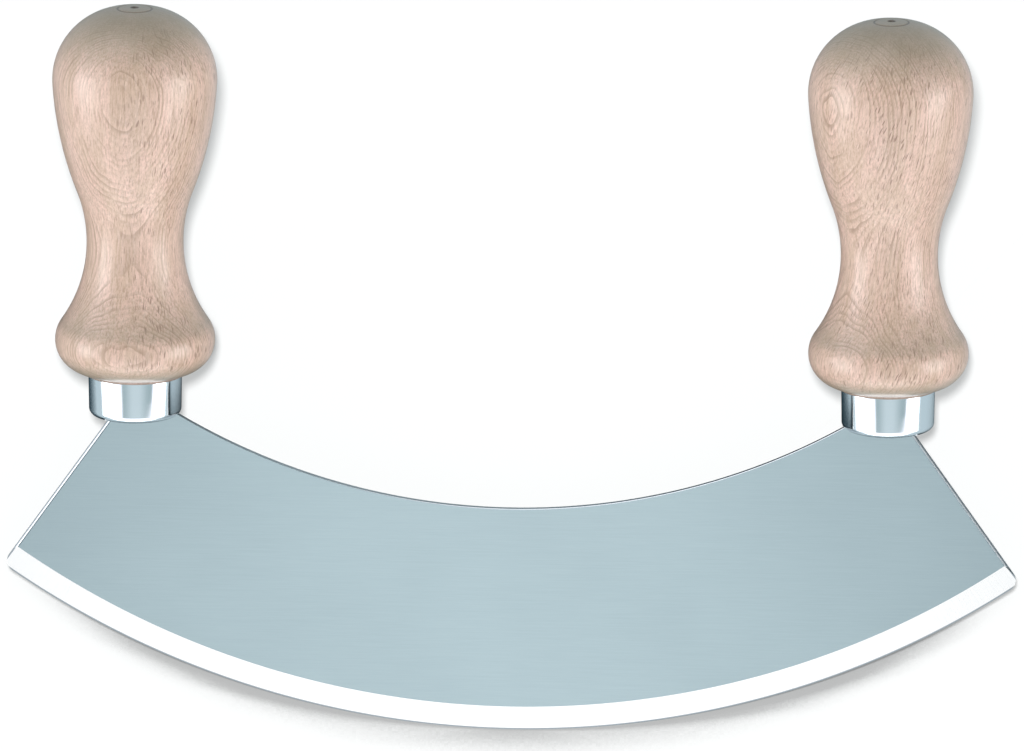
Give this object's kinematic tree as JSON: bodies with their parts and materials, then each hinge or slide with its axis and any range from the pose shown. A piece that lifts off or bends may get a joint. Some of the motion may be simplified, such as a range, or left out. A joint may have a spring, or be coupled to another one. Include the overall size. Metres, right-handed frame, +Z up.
{
  "type": "mezzaluna",
  "caption": "Mezzaluna with a crescent steel blade ground along its outer arc, and an upright turned wooden grip in a polished ferrule on each end.",
  "frame": {"origin": "the middle of the cutting edge, on the table that the knife lies on", "axes": "+X along the blade, towards the right grip; +Y across the blade, towards the grips' ends; +Z up from the table"},
  "size_m": [0.2302, 0.165, 0.0486],
  "materials": {
    "blade_steel": "fine satin on the flats, bright ground bevel with fine cross scratches",
    "ferrule_metal": "polished",
    "beech": "smooth sanded beech, lightly oiled",
    "resin": "cured resin, hidden inside the grip"
  },
  "bodies": {
    "root": {"blade": "blade_steel", "ferrule_left": "ferrule_metal", "ferrule_right": "ferrule_metal", "handle_left": "beech", "handle_right": "beech", "resin_left": "resin", "resin_right": "resin"}
  },
  "joints": []
}
